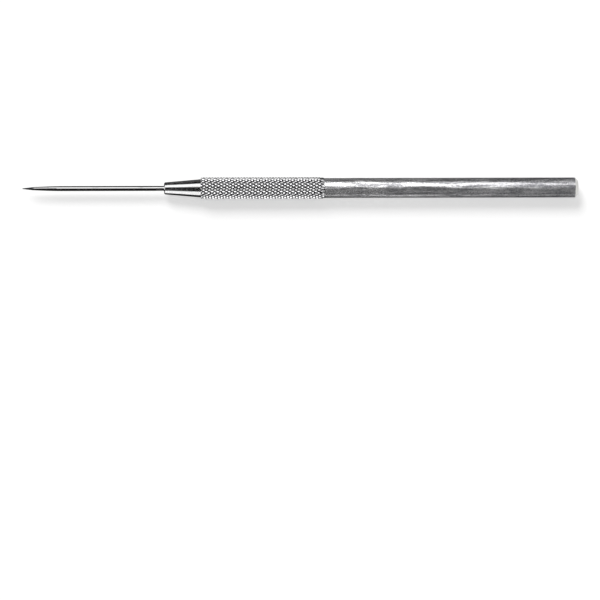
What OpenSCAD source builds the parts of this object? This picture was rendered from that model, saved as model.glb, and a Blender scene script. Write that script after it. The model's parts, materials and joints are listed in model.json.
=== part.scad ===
/* [Needle] */
// Diameter of the needle's plain shank
needle_d = 1.5875; // [1.25:0.0125:2.5]
// Length of needle that shows in front of the handle
needle_reach = 45.2; // [30:0.1:70]
// Length of needle seated in the handle
needle_seat = 19; // [8:0.5:24]
// Length of the short final grind at the point
point_length = 3.5; // [1.5:0.1:6]
// Diameter where the final grind meets the long taper
point_d = 1.02; // [0.6:0.01:1.4]
// Distance from the tip to where the needle is at full diameter
taper_length = 13; // [8:0.5:25]
// How much the long taper bulges, 1 for a straight cone
taper_bulge = 1.7; // [1:0.1:2.5]
// Radius of the rounded tip
tip_radius = 0.12; // [0.05:0.01:0.25]
// Chamfer on the needle's seated end
needle_end_chamfer = 0.2; // [0.1:0.05:0.4]

/* [Handle] */
// Diameter of the bar that the handle is turned from
bar_d = 6.35; // [5:0.05:9]
// Length of the plain barrel behind the grip, its chamfer included
barrel_length = 80.6; // [40:0.1:120]
// Chamfer on the rear end
end_chamfer = 1; // [0.3:0.1:1.5]
// Length of the tapered nose in front of the grip
nose_length = 11.7; // [8:0.1:20]
// Diameter of the nose at its front face
nose_front_d = 3.8; // [2.8:0.1:5.4]
// How far the back of the nose lies inside the roots of the knurl
nose_step = 0.13; // [0.05:0.01:0.4]
// Chamfer round the nose's front face
nose_chamfer = 0.25; // [0.1:0.05:0.4]

/* [Knurled grip] */
// Length of the knurled grip
grip_length = 39.5; // [20:0.5:60]
// How far the rolled crests stand above the bar
knurl_rise = 0.325; // [0.1:0.005:0.4]
// Depth of the knurl from crest to root
knurl_depth = 0.47; // [0.3:0.01:0.6]
// Spacing of the knurl's crests along the grip, before it is fitted to a whole number of rows
row_spacing = 0.92; // [0.7:0.01:2]
// Number of diamonds round the grip
diamonds_round = 20; // [12:1:32]
// How far the crests drop at both ends of the grip, where the rolling tool ran out
run_out = 0.22; // [0:0.01:0.28]

/* [Needle seat] */
// Gap between the needle and its bore, filled by adhesive
bond_gap = 0.05; // [0.02:0.01:0.1]
// How far the adhesive lies behind the nose's front face
bond_recess = 0.3; // [0.1:0.05:1]
// Depth of adhesive behind the needle's seated end
bond_depth = 1; // [0.3:0.1:2]
// Point angle of the drill that made the bore
drill_angle = 118; // [90:1:140]

/* [Hidden] */
$fn = 96;

// Number of straight steps along the needle's bulged taper and round its tip
taper_steps = 10;
tip_steps = 4;
// How far a cutting tool runs past the face that it opens
overcut = 1;

bar_r = bar_d / 2;
needle_r = needle_d / 2;
crest_r = bar_r + knurl_rise;
root_r = crest_r - knurl_depth;
nose_back_r = root_r - nose_step;
bore_r = needle_r + bond_gap;
bore_depth = needle_seat + bond_depth;
drill_point = bore_r / tan(drill_angle / 2);
grip_end = nose_length + grip_length;
handle_length = grip_end + barrel_length;

// The knurl is a grid of crests and roots, half a diamond apart each way.
rows = round(grip_length / row_spacing);
row_step = grip_length / rows;
columns = 2 * diamonds_round;
column_angle = 360 / columns;

// The tool lies along X on two lines of crests, its tip towards -X and its middle over the origin.
rest_height = crest_r * cos(column_angle / 2);
middle = (handle_length - needle_reach) / 2;

// Sets a piece that is drawn upright, with the nose's front face at zero, down on its side.
module lay_down() {
    translate([-middle, 0, rest_height])
        rotate([0, 90, 0])
            children();
}

// Radius of the knurl at one place of its grid
function knurl_r(row, column) =
    (row + column) % 2 == 1 ? root_r
    : row == 0 || row == rows ? crest_r - run_out
    : crest_r;

function knurl_point(row, column) =
    let (angle = (column + 0.5) * column_angle, r = knurl_r(row, column))
    [r * cos(angle), r * sin(angle), nose_length + row * row_step];

// Number of a grid place in the list of points
function at(row, column) = row * columns + column % columns;

// Each cell of the grid is two triangles that meet along the groove between its two roots.
function cell(row, column) =
    (row + column) % 2 == 1
    ? [[at(row, column), at(row + 1, column), at(row + 1, column + 1)],
       [at(row, column), at(row + 1, column + 1), at(row, column + 1)]]
    : [[at(row, column), at(row + 1, column), at(row, column + 1)],
       [at(row, column + 1), at(row + 1, column), at(row + 1, column + 1)]];

module knurl() {
    grid = [for (row = [0:rows], column = [0:columns - 1]) knurl_point(row, column)];
    front_centre = len(grid);
    back_centre = front_centre + 1;
    centres = [[0, 0, nose_length], [0, 0, grip_end]];
    sides = [for (row = [0:rows - 1], column = [0:columns - 1]) each cell(row, column)];
    front = [for (column = [0:columns - 1]) [front_centre, at(0, column), at(0, column + 1)]];
    back = [for (column = [0:columns - 1]) [back_centre, at(rows, column + 1), at(rows, column)]];
    polyhedron(points = concat(grid, centres), faces = concat(sides, front, back));
}

// Everything on the handle that is turned: nose, core of the grip, barrel and chamfered end
module turned_bar() {
    rotate_extrude()
        polygon([
            [0, 0],
            [nose_front_d / 2 - nose_chamfer, 0],
            [nose_front_d / 2, nose_chamfer],
            [nose_back_r, nose_length],
            [nose_back_r, grip_end],
            [bar_r, grip_end],
            [bar_r, handle_length - end_chamfer],
            [bar_r - end_chamfer, handle_length],
            [0, handle_length]
        ]);
}

// The drilled hole, with its conical bottom
module needle_bore(start) {
    translate([0, 0, start])
        cylinder(r = bore_r, h = bore_depth - start);
    translate([0, 0, bore_depth])
        cylinder(r1 = bore_r, r2 = 0, h = drill_point);
}

module handle() {
    color([0.72, 0.73, 0.74])
        lay_down()
            difference() {
                union() {
                    turned_bar();
                    knurl();
                }
                needle_bore(-overcut);
            }
}

// Needle radius at a distance behind the tip, between the final grind and the full shank
function taper_r(distance) =
    let (left = (taper_length - distance) / (taper_length - point_length))
    needle_r - (needle_r - point_d / 2) * pow(left, taper_bulge);

// Half angle of the final grind, and how far behind the tip its cone leaves the rounded end
point_slope = atan((point_d / 2 - tip_radius) / point_length);

function needle_outline() = [
    for (step = [0:tip_steps])
        let (turn = step / tip_steps * (90 - point_slope))
        [tip_radius * sin(turn), tip_radius * (1 - cos(turn)) - needle_reach],
    for (step = [0:taper_steps])
        let (distance = point_length + (taper_length - point_length) * step / taper_steps)
        [taper_r(distance), distance - needle_reach],
    [needle_r, needle_seat - needle_end_chamfer],
    [needle_r - needle_end_chamfer, needle_seat],
    [0, needle_seat]
];

module needle() {
    color([0.45, 0.46, 0.48])
        lay_down()
            rotate_extrude()
                polygon(needle_outline());
}

module bond() {
    color([0.35, 0.55, 0.35])
        lay_down()
            difference() {
                needle_bore(bond_recess);
                rotate_extrude()
                    polygon(needle_outline());
            }
}

handle();
needle();
bond();
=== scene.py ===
import json
import math

import bpy
import numpy as np
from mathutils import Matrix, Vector


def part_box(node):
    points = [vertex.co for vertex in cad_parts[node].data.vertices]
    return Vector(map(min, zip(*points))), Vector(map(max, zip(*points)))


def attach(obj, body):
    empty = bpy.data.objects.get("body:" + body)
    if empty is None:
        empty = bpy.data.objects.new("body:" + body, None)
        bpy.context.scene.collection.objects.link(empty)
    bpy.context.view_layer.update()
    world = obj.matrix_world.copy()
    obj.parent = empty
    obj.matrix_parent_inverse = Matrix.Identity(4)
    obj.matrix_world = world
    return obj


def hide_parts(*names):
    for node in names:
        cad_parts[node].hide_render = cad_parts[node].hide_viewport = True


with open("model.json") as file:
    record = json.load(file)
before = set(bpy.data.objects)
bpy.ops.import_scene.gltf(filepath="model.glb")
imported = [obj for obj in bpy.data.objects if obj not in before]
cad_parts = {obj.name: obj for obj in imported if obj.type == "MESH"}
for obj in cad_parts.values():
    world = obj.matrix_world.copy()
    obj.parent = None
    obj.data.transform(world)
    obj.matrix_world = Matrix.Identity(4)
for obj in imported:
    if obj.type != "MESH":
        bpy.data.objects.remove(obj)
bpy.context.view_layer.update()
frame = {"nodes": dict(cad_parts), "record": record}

MM = 0.001

# Places of the tool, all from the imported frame
needle_low, needle_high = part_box("needle")
handle_low, handle_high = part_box("handle")
mounts = {mount["name"]: mount for mount in frame["record"]["mounts"]}
TIP_X = needle_low.x
NOSE_X = handle_low.x
BUTT_X = handle_high.x
SEAT_END_X = needle_high.x
AXIS_Z = (needle_low.z + needle_high.z) / 2
NEEDLE_R = (needle_high.y - needle_low.y) / 2
BAR_R = mounts["barrel"]["dims"]["r_mm"] * MM
BARREL_X = mounts["barrel"]["pos_m"][0] - mounts["barrel"]["dims"]["length_mm"] * MM / 2

# The knurl: crests and roots half a diamond apart each way
GRIP_LENGTH = 39.5 * MM
ROWS = 43
DIAMONDS_ROUND = 20
COLUMNS = 2 * DIAMONDS_ROUND
KNURL_DEPTH = 0.47 * MM
COLUMN_ANGLE = math.pi / DIAMONDS_ROUND
ROW_STEP = GRIP_LENGTH / ROWS
CREST_R = (handle_high.y - handle_low.y) / 2 / math.cos(COLUMN_ANGLE / 2)
ROOT_R = CREST_R - KNURL_DEPTH
GRIP_X = BARREL_X - GRIP_LENGTH

# How it was rolled: shallower than full depth, its crests blunted and uneven in height
ROLLED_DEPTH = 0.38 * MM
FLANK_SHARE = 0.90
UNEVEN_SHARE = 0.10
ROLLING_SEED = 11

# How it ends: lower rows and a short fade at the bar, and a steep shoulder at the nose
RUN_OUT_HEIGHTS = (0.92, 0.70, 0.30, 0.15)
FADE_LENGTH = 0.35 * ROW_STEP
SHOULDER_STEP = 0.34 * MM
SHOULDER_SLOPE = 3.0

# The turned parts of the handle
NOSE_FRONT_R = 1.9 * MM
NOSE_STEP = 0.13 * MM
NOSE_BACK_R = ROOT_R - NOSE_STEP
NOSE_CHAMFER = 0.25 * MM
END_CHAMFER = 1.0 * MM
BOND_GAP = 0.05 * MM
BOND_DEPTH = 1.0 * MM
DRILL_DEGREES = 118
BORE_R = NEEDLE_R + BOND_GAP
BORE_END_X = SEAT_END_X + BOND_DEPTH
DRILL_POINT = BORE_R / math.tan(math.radians(DRILL_DEGREES / 2))

# Broken edges, and rings beside the corners that keep their shading crisp
BORE_BREAK = 0.06 * MM
FACE_BREAK = 0.03 * MM
NOSE_CHAMFER_SHARES = (0.12, 0.88)
CONE_START = NOSE_CHAMFER * 1.15
BAR_START = 0.08 * MM
END_CHAMFER_SHARES = (0.06, 0.94)
END_FACE_EDGE = END_CHAMFER * 1.04
END_CENTRE_R = 0.25 * MM
SHARP_ANGLE = math.radians(34)

# The needle's ground point and its seated end
POINT_LENGTH = 3.5 * MM
POINT_R = 0.51 * MM
TAPER_LENGTH = 13.0 * MM
TAPER_BULGE = 1.7
TIP_R = 0.12 * MM
SEAT_CHAMFER = 0.2 * MM

# Mesh fineness: steps round the handle and needle, and along each of their stretches
STEPS_PER_DIAMOND = 6
HANDLE_STEPS = COLUMNS * STEPS_PER_DIAMOND
CONE_STEPS = 24
BARREL_STEPS = 40
NEEDLE_STEPS = 96
TIP_STEPS = 6
POINT_STEPS = 12
TAPER_STEPS = 32
SHANK_STEPS = 24

# The studio, in metres about the middle of the tool
FLOOR_REACH = 6.0
FAR_Y = 1.0
NEAR_Y = -1.0
SIDE_X = 1.0
CEILING_Z = 1.3
TABLE_Z = 0.02 * MM
STRIP_Y = -30 * MM

# The light: the floor and world are brighter for the rays that show them as background
FLOOR_GREY = 0.65
FLOOR_GLOW = 0.556
WORLD_LIGHT = 0.30
WORLD_GLOW = 1.10
KEY_STRENGTH = 2.5
KEY_WIDTH = math.radians(29)
KEY_FROM = Vector((-0.42, 1.00, 1.0))

# The camera's lens and film in millimetres, and how near and far it sees in metres
LENS = 200.0
FILM_WIDTH = 36.0
NEAREST = 0.01
FARTHEST = 20.0

# Where the photograph has the ends of the tool's axis, in its own pixels
PHOTO_SIZE = 600
PHOTO_TIP = (22.3, 188.72)
PHOTO_BUTT = (578.0, 187.45)


# Meshes

def ring_points(x, radius, steps):
    """One ring of points round the tool's axis. radius is one number or one for each step."""
    turn = np.arange(steps) * 2 * math.pi / steps
    radius = np.broadcast_to(radius, turn.shape)
    across, up = radius * np.sin(turn), AXIS_Z - radius * np.cos(turn)
    return np.column_stack([np.full(steps, x), across, up])


def lathe(name, rings, steps, start_x, end_x, groove_side=None):
    """A closed round solid from rings of (x, radius, finish), between two points on its axis.

    groove_side(ring, step) says which way a cell's diagonal runs. Where it says None, or isn't
    given, a cell stays one face with four sides.
    """
    points = [ring_points(x, radius, steps) for x, radius, _ in rings]
    points += [np.array([[start_x, 0, AXIS_Z]]), np.array([[end_x, 0, AXIS_Z]])]
    start, end = len(rings) * steps, len(rings) * steps + 1
    faces, finishes = [], []
    for row in range(len(rings) - 1):
        for step in range(steps):
            after = (step + 1) % steps
            a, b = row * steps + step, row * steps + after
            c, d = a + steps, b + steps
            side = groove_side(row, step) if groove_side else None
            if side is None:
                cell = [(a, b, d, c)]
            elif side:
                cell = [(a, b, d), (a, d, c)]
            else:
                cell = [(a, b, c), (b, d, c)]
            faces += cell
            finishes += [rings[row + 1][2]] * len(cell)
    last = (len(rings) - 1) * steps
    for step in range(steps):
        after = (step + 1) % steps
        faces += [(start, after, step), (end, last + step, last + after)]
        finishes += [rings[0][2], rings[-1][2]]
    mesh = bpy.data.meshes.new(name)
    mesh.from_pydata(np.concatenate(points).tolist(), [], faces)
    mesh.polygons.foreach_set("material_index", finishes)
    mesh.shade_smooth()
    mesh.set_sharp_from_angle(angle=SHARP_ANGLE)
    mesh.validate()
    solid = bpy.data.objects.new(name, mesh)
    bpy.context.scene.collection.objects.link(solid)
    return solid


def crest_heights():
    """How high each diamond was rolled, as a share of full height. The same each run.

    The rows go from one in front of the grip to one behind it.
    """
    chance = np.random.default_rng(ROLLING_SEED)
    heights = 1 - UNEVEN_SHARE * chance.random((ROWS + 3, COLUMNS)) ** 2
    heights[-len(RUN_OUT_HEIGHTS):] *= np.array(RUN_OUT_HEIGHTS)[:, None]
    return heights


def knurl_radius(x, turn, heights):
    """Radius of the rolled knurl at a place along the tool and round it."""
    row = (x - GRIP_X) / ROW_STEP
    column = turn / COLUMN_ANGLE - 0.5
    first, second = (row + column) / 2, (row - column) / 2
    first_off = np.abs(first - np.round(first))
    second_off = np.abs(second - np.round(second))
    slope = 1 - 2 * np.maximum(first_off, second_off)
    near_row = (np.round(first) + np.round(second)).astype(int)
    near_column = (np.round(first) - np.round(second)).astype(int) % COLUMNS
    height = heights[np.clip(near_row + 1, 0, len(heights) - 1), near_column]
    blunted = np.minimum(slope / FLANK_SHARE, 1) * height
    rolled = CREST_R - ROLLED_DEPTH * (1 - blunted)
    shoulder = NOSE_BACK_R + SHOULDER_STEP + (x - GRIP_X) * SHOULDER_SLOPE
    rolled = np.minimum(rolled, shoulder)
    fade = min((BARREL_X - x) / FADE_LENGTH, 1)
    return BAR_R + (rolled - BAR_R) * fade * fade * (3 - 2 * fade)


# The order of the finishes in the handle's material slots, and the needle's one slot
TURNED, KNURLED, MILLED, FACED = range(4)
POLISHED = 0


def nose_rings():
    """From the bottom of the bore, round the front face's broken edges, and up the cone."""
    rings = [(BORE_END_X, BORE_R, TURNED), (NOSE_X + BORE_BREAK, BORE_R, TURNED)]
    rings += [(NOSE_X, BORE_R + BORE_BREAK, TURNED)]
    rings += [(NOSE_X, NOSE_FRONT_R - NOSE_CHAMFER - FACE_BREAK, TURNED)]
    for share in NOSE_CHAMFER_SHARES:
        rings += [(NOSE_X + NOSE_CHAMFER * share, NOSE_FRONT_R - NOSE_CHAMFER * (1 - share), TURNED)]
    for step in range(CONE_STEPS + 1):
        x = NOSE_X + CONE_START + (GRIP_X - NOSE_X - CONE_START) * (step / CONE_STEPS)
        rise = (x - NOSE_X) / (GRIP_X - NOSE_X)
        rings += [(x, NOSE_FRONT_R + (NOSE_BACK_R - NOSE_FRONT_R) * rise, TURNED)]
    return rings


def knurl_rings():
    """Along the grip, each ring with its own radius at every step round it."""
    turn = np.arange(HANDLE_STEPS) * 2 * math.pi / HANDLE_STEPS
    heights = crest_heights()
    rings = []
    for step in range(ROWS * STEPS_PER_DIAMOND + 1):
        x = GRIP_X + step * ROW_STEP / STEPS_PER_DIAMOND
        rings += [(x, knurl_radius(x, turn, heights), KNURLED)]
    return rings


def barrel_rings():
    """The plain bar, its end chamfer and its end face, down to a small ring at the centre."""
    barrel_end = BUTT_X - END_CHAMFER
    rings = [(BARREL_X + BAR_START, BAR_R, MILLED)]
    for step in range(1, BARREL_STEPS + 1):
        rings += [(BARREL_X + (barrel_end - BARREL_X) * step / BARREL_STEPS, BAR_R, MILLED)]
    for share in END_CHAMFER_SHARES:
        rings += [(barrel_end + END_CHAMFER * share, BAR_R - END_CHAMFER * share, FACED)]
    rings += [(BUTT_X, BAR_R - END_FACE_EDGE, FACED), (BUTT_X, END_CENTRE_R, FACED)]
    return rings


def make_handle():
    nose, knurl, barrel = nose_rings(), knurl_rings(), barrel_rings()
    knurl_start = len(nose)
    knurl_end = knurl_start + len(knurl) - 1

    def groove_side(row, step):
        """The diagonal of a knurl cell runs along the nearer groove."""
        if not knurl_start <= row < knurl_end:
            return None
        along = (row - knurl_start + 0.5) / STEPS_PER_DIAMOND
        column = (step + 0.5) / STEPS_PER_DIAMOND - 0.5
        first, second = (along + column) / 2, (along - column) / 2
        return abs(first - round(first)) < abs(second - round(second))

    rings = nose + knurl + barrel
    return lathe("handle_body", rings, HANDLE_STEPS, BORE_END_X + DRILL_POINT, BUTT_X, groove_side)


def make_needle():
    """The ground wire: rounded tip, short final grind, bulged taper, plain shank, chamfered end."""
    rings = []
    slope = math.atan((POINT_R - TIP_R) / POINT_LENGTH)
    for step in range(1, TIP_STEPS + 1):
        angle = step / TIP_STEPS * (math.pi / 2 - slope)
        rings += [(TIP_X + TIP_R * (1 - math.cos(angle)), TIP_R * math.sin(angle), POLISHED)]
    grind_x = TIP_R * (1 - math.sin(slope))
    grind_r = TIP_R * math.cos(slope)
    for step in range(1, POINT_STEPS + 1):
        share = step / POINT_STEPS
        x = grind_x + (POINT_LENGTH - grind_x) * share
        rings += [(TIP_X + x, grind_r + (POINT_R - grind_r) * share, POLISHED)]
    for step in range(1, TAPER_STEPS + 1):
        left = 1 - step / TAPER_STEPS
        x = TAPER_LENGTH - (TAPER_LENGTH - POINT_LENGTH) * left
        rings += [(TIP_X + x, NEEDLE_R - (NEEDLE_R - POINT_R) * left ** TAPER_BULGE, POLISHED)]
    shank_x = TIP_X + TAPER_LENGTH
    shank_end_x = SEAT_END_X - SEAT_CHAMFER
    for step in range(1, SHANK_STEPS + 1):
        rings += [(shank_x + (shank_end_x - shank_x) * step / SHANK_STEPS, NEEDLE_R, POLISHED)]
    rings += [(SEAT_END_X, NEEDLE_R - SEAT_CHAMFER, POLISHED)]
    return lathe("needle_wire", rings, NEEDLE_STEPS, TIP_X, SEAT_END_X)


# Finishes

# Sockets of the node that mixes colours, by number, because their names aren't unique on it
MIX_FACTOR, MIX_LOW, MIX_HIGH, MIX_RESULT = 0, 6, 7, 2


class Wire:
    """One socket of a shader tree, with the arithmetic that the finishes use."""

    def __init__(self, tree, socket):
        self.tree, self.socket = tree, socket

    def make(self, kind, settings, inputs, output=0):
        """Any node: its type, its settings, then what its sockets hold or are linked to."""
        node = self.tree.nodes.new(kind)
        for name, value in settings.items():
            setattr(node, name, value)
        for name, value in inputs.items():
            if isinstance(value, Wire):
                self.tree.links.new(value.socket, node.inputs[name])
            else:
                node.inputs[name].default_value = value
        return Wire(self.tree, node.outputs[output] if node.outputs else None)

    def outputs_of(self, kind, inputs, names):
        """Several outputs of one node, by name."""
        node = self.make(kind, {}, inputs).socket.node
        return [Wire(self.tree, node.outputs[name]) for name in names]

    def maths(self, operation, *values):
        return self.make("ShaderNodeMath", {"operation": operation}, dict(enumerate(values)))

    def __add__(self, other):
        return self.maths("ADD", self, other)

    def __radd__(self, other):
        return self.maths("ADD", other, self)

    def __sub__(self, other):
        return self.maths("SUBTRACT", self, other)

    def __rsub__(self, other):
        return self.maths("SUBTRACT", other, self)

    def __mul__(self, other):
        return self.maths("MULTIPLY", self, other)

    def __rmul__(self, other):
        return self.maths("MULTIPLY", other, self)

    def __truediv__(self, other):
        return self.maths("DIVIDE", self, other)

    def __rtruediv__(self, other):
        return self.maths("DIVIDE", other, self)

    def __pow__(self, other):
        return self.maths("POWER", self, other)

    def __rpow__(self, other):
        return self.maths("POWER", other, self)

    def step_between(self, low, high):
        """0 below low, 1 above high, smooth between them."""
        inputs = {"Value": self, "From Min": low, "From Max": high}
        return self.make("ShaderNodeMapRange", {"interpolation_type": "SMOOTHSTEP"}, inputs)

    def noise(self, place, scale, detail, roughness=0.5):
        """Soft noise from 0 to 1. scale counts its lumps in each unit of place."""
        inputs = {"Vector": place, "Scale": scale, "Detail": detail, "Roughness": roughness}
        return self.make("ShaderNodeTexNoise", {}, inputs)

    def colour_mix(self, factor, low, high):
        """The colour low where factor is 0, and high where it is 1."""
        inputs = {MIX_FACTOR: factor, MIX_LOW: (*low, 1.0), MIX_HIGH: (*high, 1.0)}
        return self.make("ShaderNodeMix", {"data_type": "RGBA"}, inputs, MIX_RESULT)

    def bump(self, height, strength, distance):
        inputs = {"Height": height, "Strength": strength, "Distance": distance}
        return self.make("ShaderNodeBump", {}, inputs)

    def millimetres(self):
        """Place on the piece in millimetres: along the tool, across it, and up from its axis."""
        place = self.make("ShaderNodeTexCoord", {}, {}, "Object")
        along, across, up = self.outputs_of("ShaderNodeSeparateXYZ", {"Vector": place}, "XYZ")
        return along * (1 / MM), across * (1 / MM), (up - AXIS_Z) * (1 / MM)

    def point(self, x, y, z):
        return self.make("ShaderNodeCombineXYZ", {}, {"X": x, "Y": y, "Z": z})


def new_material(name):
    """A material with an empty shader tree, and that tree, wrapped for making nodes."""
    material = bpy.data.materials.new(name)
    material.use_nodes = True
    material.node_tree.nodes.clear()
    return material, Wire(material.node_tree, None)


def surface(tree, colour, roughness, normal, metallic=1.0):
    """Finishes a shader tree with the surface that it describes, metal unless told otherwise."""
    inputs = {"Base Color": colour, "Roughness": roughness, "Metallic": metallic, "Normal": normal}
    shader = tree.make("ShaderNodeBsdfPrincipled", {}, inputs)
    tree.make("ShaderNodeOutputMaterial", {}, {"Surface": shader})


def from_axis(y, z):
    """How far a place is from the tool's axis."""
    return (y * y + z * z) ** 0.5


def mill_finish():
    """Drawn aluminium bar: die lines and scuffs along it, grain and nicks, and painted shade that
    darkens it towards the rear.
    """
    material, tree = new_material("mill_finish_aluminium")
    x, y, z = tree.millimetres()
    # The dark colour serves the random darker streaks and the painted shade towards the rear
    dull_and_shaded, drawn = (0.21, 0.21, 0.225), (0.99, 0.985, 1.0)
    # Where the painted shade towards the rear, and the extra roughness there, reach full strength
    rear_shade_end = BUTT_X / MM + 12.0
    rearward = x.step_between(BARREL_X / MM, rear_shade_end)
    streaks = tree.noise(tree.point(x * 0.06, y, z), scale=1.5, detail=2.0)
    patches = tree.noise(tree.point(x * 0.20, y + 20.0, z), scale=0.9, detail=2.0, roughness=0.45)
    hair_lines = tree.noise(tree.point(x * 0.08, y, z), scale=5.5, detail=3.0, roughness=0.6)
    grain = tree.noise(tree.point(x * 0.75, y, z), scale=1.8, detail=1.0)
    speckle = tree.noise(tree.point(x, y, z), scale=3.0, detail=1.0)
    rubbing = tree.noise(tree.point(x * 0.08, y + 40.0, z), scale=2.0, detail=2.0)
    scuffs = rubbing.step_between(0.60, 0.74)
    nicks = tree.noise(tree.point(x, y + 60.0, z), scale=1.3, detail=1.0).step_between(0.79, 0.82)
    tone = streaks * 0.40 + patches * 0.28 + hair_lines * 0.10 + grain * 0.22
    # Painted shade: the colour darkens towards the rear and brightens at the front of the bar
    tone = tone.step_between(0.41, 0.59) * (1 - rearward * 0.6)
    tone = tone + (speckle - 0.5) * 0.8 + (1 - rearward) * 0.21 + nicks
    colour = tree.colour_mix(tone, dull_and_shaded, drawn)
    roughness = 0.33 - tone * 0.10 + scuffs * 0.10 + rearward * 0.04
    height = streaks * 1.7 + hair_lines * 0.35 + grain * 0.33 + patches * 2.2 + scuffs * 0.2
    normal = tree.bump(height, strength=1.0, distance=0.06 * MM)
    surface(tree, colour, roughness, normal, metallic=0.80)
    return material


def turned_finish():
    """Bright turned aluminium: fine tool marks round it."""
    material, tree = new_material("bright_turned_aluminium")
    x, y, z = tree.millimetres()
    valleys, ridges = (0.82, 0.82, 0.83), (0.97, 0.97, 0.975)
    tool_marks = tree.noise(tree.point(x, y * 0.05, z * 0.05), scale=9.0, detail=3.0, roughness=0.7)
    chatter = tree.noise(tree.point(x, y * 0.6, z * 0.6), scale=3.5, detail=3.0, roughness=0.6)
    colour = tree.colour_mix(tool_marks, valleys, ridges)
    roughness = 0.08 + tool_marks * 0.08
    height = tool_marks * 0.3 + chatter
    surface(tree, colour, roughness, tree.bump(height, strength=0.4, distance=0.03 * MM))
    return material


def knurl_finish():
    """Rolled knurl: crests burnished by the roll, and painted shade that darkens the grooves."""
    material, tree = new_material("rolled_knurl_aluminium")
    x, y, z = tree.millimetres()
    # Painted shade: the grooves' colour is near black, the crests' near white
    groove_shade, crests = (0.04, 0.04, 0.045), (0.98, 0.98, 0.99)
    grip_end = BARREL_X / MM
    height = (from_axis(y, z) - ROOT_R / MM) / (KNURL_DEPTH / MM)
    run_out = x.step_between(grip_end - 1.4, grip_end - 0.2)
    # Painted shade: the colour darkens from crest to groove, and stays mid grey in the fade at the
    # bar; the same mask makes the crests smoother
    burnish_and_groove_shade = height.step_between(0.28, 0.74) * (1 - run_out) + run_out * 0.6
    grain = tree.noise(tree.point(x, y, z), scale=6.0, detail=3.0, roughness=0.65)
    patches = tree.noise(tree.point(x * 0.5, y, z), scale=0.8, detail=3.0, roughness=0.6)
    tone = burnish_and_groove_shade * (0.80 + patches * 0.3)
    colour = tree.colour_mix(tone, groove_shade, crests)
    roughness = 0.11 - burnish_and_groove_shade * 0.05 + grain * 0.04
    normal = tree.bump(grain, strength=0.14, distance=0.02 * MM)
    surface(tree, colour, roughness, normal, metallic=0.95)
    return material


def faced_finish():
    """The parted and chamfered rear end: rings from the lathe tool."""
    material, tree = new_material("faced_end_aluminium")
    x, y, z = tree.millimetres()
    valleys, ridges = (0.50, 0.50, 0.485), (0.70, 0.70, 0.68)
    rings = tree.noise(tree.point(from_axis(y, z), x, 0.0), scale=8.0, detail=2.0, roughness=0.6)
    grain = tree.noise(tree.point(x, y, z), scale=4.0, detail=3.0, roughness=0.6)
    colour = tree.colour_mix(rings * 0.5 + grain * 0.5, valleys, ridges)
    roughness = 0.30 + grain * 0.14
    height = rings + grain * 0.4
    surface(tree, colour, roughness, tree.bump(height, strength=0.3, distance=0.02 * MM))
    return material


def needle_finish():
    """Polished hardened steel, with grinding marks on the point, whose near-black colour is a
    painted dark reflection.
    """
    material, tree = new_material("polished_needle_steel")
    x, y, z = tree.millimetres()
    # The dark colour serves the real stains and the painted dark reflection on the ground point
    polished, stains_and_painted_dark = (0.84, 0.835, 0.84), (0.045, 0.045, 0.05)
    grind_end = POINT_LENGTH / MM
    from_tip = x - TIP_X / MM
    # The ground point: rougher, with grinding marks, and coloured near black as a painted dark
    # reflection
    ground = 1 - from_tip.step_between(grind_end - 0.4, grind_end + 0.6)
    polish = tree.noise(tree.point(x * 0.06, y, z), scale=5.0, detail=2.0)
    marks = tree.noise(tree.point(x, y * 0.1, z * 0.1), scale=8.0, detail=3.0, roughness=0.7)
    stains = tree.noise(tree.point(x * 0.25, y, z), scale=0.9, detail=2.0).step_between(0.58, 0.75)
    # Colour: real stains, and the painted dark reflection on the point
    colour = tree.colour_mix(stains * 0.4 + ground, polished, stains_and_painted_dark)
    roughness = 0.02 + polish * 0.03 + ground * 0.16
    height = polish * 0.2 + marks * ground * 0.6
    surface(tree, colour, roughness, tree.bump(height, strength=0.15, distance=0.01 * MM))
    return material


def adhesive_finish():
    """Cured retaining adhesive in the bore."""
    material, tree = new_material("cured_adhesive")
    x, y, z = tree.millimetres()
    deep_green, pale_green = (0.03, 0.10, 0.04), (0.10, 0.22, 0.09)
    cloud = tree.noise(tree.point(x, y, z), scale=2.5, detail=3.0)
    colour = tree.colour_mix(cloud, deep_green, pale_green)
    roughness = 0.25 + cloud * 0.15
    normal = tree.bump(cloud, strength=0.2, distance=0.02 * MM)
    surface(tree, colour, roughness, normal, metallic=0.0)
    return material


# Studio

def seen_directly(tree):
    """1 for rays that show the background: from the camera, or by way of metal or glass."""
    names = ("Is Camera Ray", "Is Glossy Ray", "Is Transmission Ray")
    camera, mirrored, through = tree.outputs_of("ShaderNodeLightPath", {}, names)
    return tree.maths("MAXIMUM", tree.maths("MAXIMUM", camera, mirrored), through)


def floor_material():
    """Pale floor that shows white, and keeps the tool's shadow."""
    material, tree = new_material("white_floor")
    grey = (FLOOR_GREY, FLOOR_GREY, FLOOR_GREY, 1.0)
    plain = tree.make("ShaderNodeBsdfDiffuse", {}, {"Color": grey})
    glow = tree.make("ShaderNodeEmission", {}, {"Strength": seen_directly(tree) * FLOOR_GLOW})
    both = tree.make("ShaderNodeAddShader", {}, {0: plain, 1: glow})
    tree.make("ShaderNodeOutputMaterial", {}, {"Surface": both})
    material.cycles.emission_sampling = "NONE"
    return material


def cloth(name, glow):
    """A plain cloth for cards and screens, the same shade however it is lit."""
    material, tree = new_material(name)
    shade = tree.make("ShaderNodeEmission", {}, {"Strength": glow})
    tree.make("ShaderNodeOutputMaterial", {}, {"Surface": shade})
    material.cycles.emission_sampling = "NONE"
    return material


def flat_card(name, corners, material):
    mesh = bpy.data.meshes.new(name)
    mesh.from_pydata(corners, [], [(0, 1, 2, 3)])
    mesh.materials.append(material)
    card = bpy.data.objects.new(name, mesh)
    bpy.context.scene.collection.objects.link(card)
    return card


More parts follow.
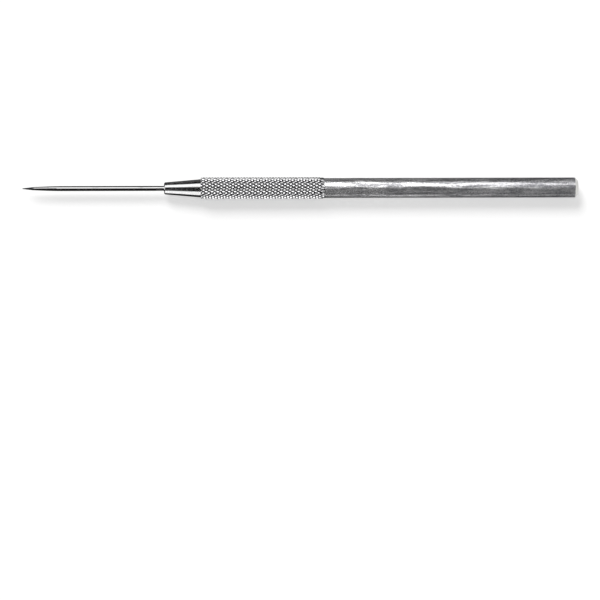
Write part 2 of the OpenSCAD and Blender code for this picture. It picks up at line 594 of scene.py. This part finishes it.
def level(name, z, x_from, x_to, near_y, far_from, far_to, material):
    """A card that lies level. Its far edge slants from far_from to far_to."""
    corners = [(x_from, near_y, z), (x_to, near_y, z), (x_to, far_to, z), (x_from, far_from, z)]
    return flat_card(name, corners, material)


def wall(name, y, x_from, x_to, top_from, top_to, material):
    """A card that stands along the tool. Its top edge slants from top_from to top_to."""
    corners = [(x_from, y, TABLE_Z), (x_to, y, TABLE_Z), (x_to, y, top_to), (x_from, y, top_from)]
    return flat_card(name, corners, material)


def beside(name, x, y_from, y_to, bottom, material):
    """A card that stands across the tool, beyond one of its ends."""
    top = 1.7
    corners = [(x, y_from, bottom), (x, y_to, bottom), (x, y_to, top), (x, y_from, top)]
    return flat_card(name, corners, material)


def behind(name, x_from, x_to, material):
    """A card on the table from under the tool to the far wall."""
    return level(name, TABLE_Z, x_from, x_to, 0.0, FAR_Y, FAR_Y, material)


def in_front(name, x_from, x_to, material):
    """A strip on the table from under the tool a little way forward."""
    return level(name, TABLE_Z, x_from, x_to, STRIP_Y, 0.0, 0.0, material)


def overhead(degrees):
    """How far behind the tool an overhead card is this many degrees from straight up."""
    return CEILING_Z * math.tan(math.radians(degrees))


def far_height(degrees):
    """How high the far wall is this many degrees from straight up."""
    return FAR_Y / math.tan(math.radians(degrees))


def reflection_cards():
    """Cards and screens that shape what the bright metal mirrors."""
    black, soot = cloth("black_cloth", glow=0.01), cloth("soot_cloth", glow=0.025)
    charcoal, grey = cloth("charcoal_cloth", glow=0.07), cloth("grey_cloth", glow=0.15)
    dim, bright = cloth("dim_cloth", glow=0.30), cloth("bright_screen", glow=2.6)

    # Overhead: the tapered nose mirrors the left card, the needle the narrow one, the rest the right
    card_end, nose_card_x, needle_card_x, near_edge = 0.5, -0.22, -0.1, overhead(-48)
    nose_edge, needle_edge, grip_edge, butt_edge = (overhead(angle) for angle in (18, 5, 10, 4))
    cards = [
        level("overhead_card_left", CEILING_Z, -card_end, nose_card_x,
              near_edge, nose_edge, nose_edge, black),
        level("overhead_card_needle", CEILING_Z, nose_card_x, needle_card_x,
              near_edge, needle_edge, needle_edge, black),
        level("overhead_card_right", CEILING_Z, needle_card_x, card_end,
              near_edge, grip_edge, butt_edge, black),
    ]

    # On the table, each under its own stretch of the tool
    before_tip, before_nose = TIP_X - 20 * MM, NOSE_X - 1 * MM
    cards += [
        behind("table_card_needle", before_tip, before_nose, black),
        behind("table_card_nose_far", before_nose, GRIP_X, charcoal),
        in_front("table_card_needle_near", before_tip, NOSE_X, soot),
        in_front("table_card_nose_near", NOSE_X, GRIP_X, black),
        in_front("table_card_grip", GRIP_X, BARREL_X, black),
        behind("table_card_grip_far", GRIP_X, BARREL_X, dim),
        behind("table_card_barrel", BARREL_X, BUTT_X, black),
        in_front("table_card_barrel_near", BARREL_X, BUTT_X, grey),
    ]

    # Behind the tool: a dark wall with low wings, and a bright screen that shows above it
    wall_split, wall_end, wing_end, wing_top = -0.06, 0.45, 0.9, 0.24
    left_top, split_top, right_top = far_height(61), far_height(78), far_height(34)
    cards += [
        wall("far_card_left", FAR_Y, -wall_end, wall_split, left_top, left_top, black),
        wall("far_card_right", FAR_Y, wall_split, wall_end, split_top, right_top, black),
        wall("far_wing_left", FAR_Y, -wing_end, -wall_end, wing_top, wing_top, black),
        wall("far_wing_right", FAR_Y, wall_end, wing_end, wing_top, wing_top, black),
    ]

    # In front of the tool: a wide dark card with a slanted left edge, and a low one at the needle
    near_foot_x, near_top_x, near_top = -0.145, -0.19, 1.1
    near_corners = [(near_foot_x, NEAR_Y, TABLE_Z), (card_end, NEAR_Y, TABLE_Z),
                    (card_end, NEAR_Y, near_top), (near_top_x, NEAR_Y, near_top)]
    tip_top, nose_top = 28 * MM, 6 * MM
    cards += [
        flat_card("near_card", near_corners, black),
        wall("needle_card", STRIP_Y / 2, before_tip, NOSE_X - 3 * MM, tip_top, nose_top, soot),
    ]

    # Beyond the ends: the left and right sides of the knurl's diamonds mirror these
    front_y, front_end_y, raised = -2.0, -0.5, 0.25
    cards += [
        beside("right_card", SIDE_X, y_from=0.0, y_to=0.9, bottom=raised, material=black),
        beside("left_card", -SIDE_X, front_end_y, y_to=-0.05, bottom=raised, material=dim),
        beside("left_card_near", -SIDE_X, front_y, front_end_y, TABLE_Z, grey),
        beside("right_screen", SIDE_X, front_y, front_end_y, TABLE_Z, bright),
        beside("left_screen", -SIDE_X, y_from=0.1, y_to=1.1, bottom=raised, material=bright),
    ]

    screen_from, screen_to = -0.08, 0.8
    screen_corners = [(screen_from, FAR_Y, far_height(66)), (screen_to, FAR_Y, far_height(40)),
                      (screen_to, FAR_Y, far_height(16)), (screen_from, FAR_Y, far_height(20))]
    cards += [flat_card("bright_screen", screen_corners, bright)]
    return cards


def only_in_reflections(card):
    card.visible_camera = False
    card.visible_diffuse = False
    card.visible_shadow = False
    card.visible_transmission = False


def make_world():
    """Even white light, dimmer on dull surfaces than where it is seen or mirrored."""
    world = bpy.data.worlds.new("white_studio")
    world.use_nodes = True
    world.node_tree.nodes.clear()
    tree = Wire(world.node_tree, None)
    strength = WORLD_LIGHT + seen_directly(tree) * WORLD_GLOW
    glow = tree.make("ShaderNodeBackground", {}, {"Strength": strength})
    tree.make("ShaderNodeOutputWorld", {}, {"Surface": glow})
    world.cycles.sampling_method = "NONE"
    bpy.context.scene.world = world


def make_key_light():
    """Stands behind the tool to the left, and throws its shadow forward to the right."""
    lamp = bpy.data.lights.new("key_light", "SUN")
    lamp.angle = KEY_WIDTH
    lamp.energy = KEY_STRENGTH
    key = bpy.data.objects.new("key_light", lamp)
    key.visible_glossy = False
    key.rotation_mode = "QUATERNION"
    key.rotation_quaternion = KEY_FROM.to_track_quat("Z", "Y")
    bpy.context.scene.collection.objects.link(key)


def make_studio():
    """A white floor, cards that only reflections show, white light all round and one key light."""
    reach = FLOOR_REACH
    corners = [(-reach, -reach, 0), (reach, -reach, 0), (reach, reach, 0), (-reach, reach, 0)]
    flat_card("floor", corners, floor_material())
    for card in reflection_cards():
        only_in_reflections(card)
    make_world()
    make_key_light()


def make_camera():
    """Looks straight down, so that the tool's ends fall where the photograph has them."""
    across = PHOTO_BUTT[0] - PHOTO_TIP[0]
    rise = PHOTO_TIP[1] - PHOTO_BUTT[1]
    roll = math.atan2(rise, across)
    metres_per_pixel = (BUTT_X - TIP_X) / math.hypot(across, rise)
    middle_x, middle_y = ((tip + butt) / 2 for tip, butt in zip(PHOTO_TIP, PHOTO_BUTT))
    right = (PHOTO_SIZE / 2 - middle_x) * metres_per_pixel
    up = (middle_y - PHOTO_SIZE / 2) * metres_per_pixel
    lens = bpy.data.cameras.new("camera")
    lens.lens = LENS
    lens.sensor_width = FILM_WIDTH
    lens.clip_start, lens.clip_end = NEAREST, FARTHEST
    camera = bpy.data.objects.new("camera", lens)
    camera.location = (
        (TIP_X + BUTT_X) / 2 + right * math.cos(-roll) - up * math.sin(-roll),
        right * math.sin(-roll) + up * math.cos(-roll),
        AXIS_Z + PHOTO_SIZE * metres_per_pixel * LENS / FILM_WIDTH,
    )
    camera.rotation_euler = (0.0, 0.0, -roll)
    bpy.context.scene.collection.objects.link(camera)
    bpy.context.scene.camera = camera


# Everything together

make_camera()
make_studio()

handle = make_handle()
for finish in (turned_finish, knurl_finish, mill_finish, faced_finish):
    handle.data.materials.append(finish())
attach(handle, "root")
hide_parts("handle")

needle = make_needle()
needle.data.materials.append(needle_finish())
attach(needle, "root")
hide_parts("needle")

bond = frame["nodes"]["bond"]
bond.data.materials.clear()
bond.data.materials.append(adhesive_finish())

bpy.context.scene.view_settings.view_transform = "Standard"
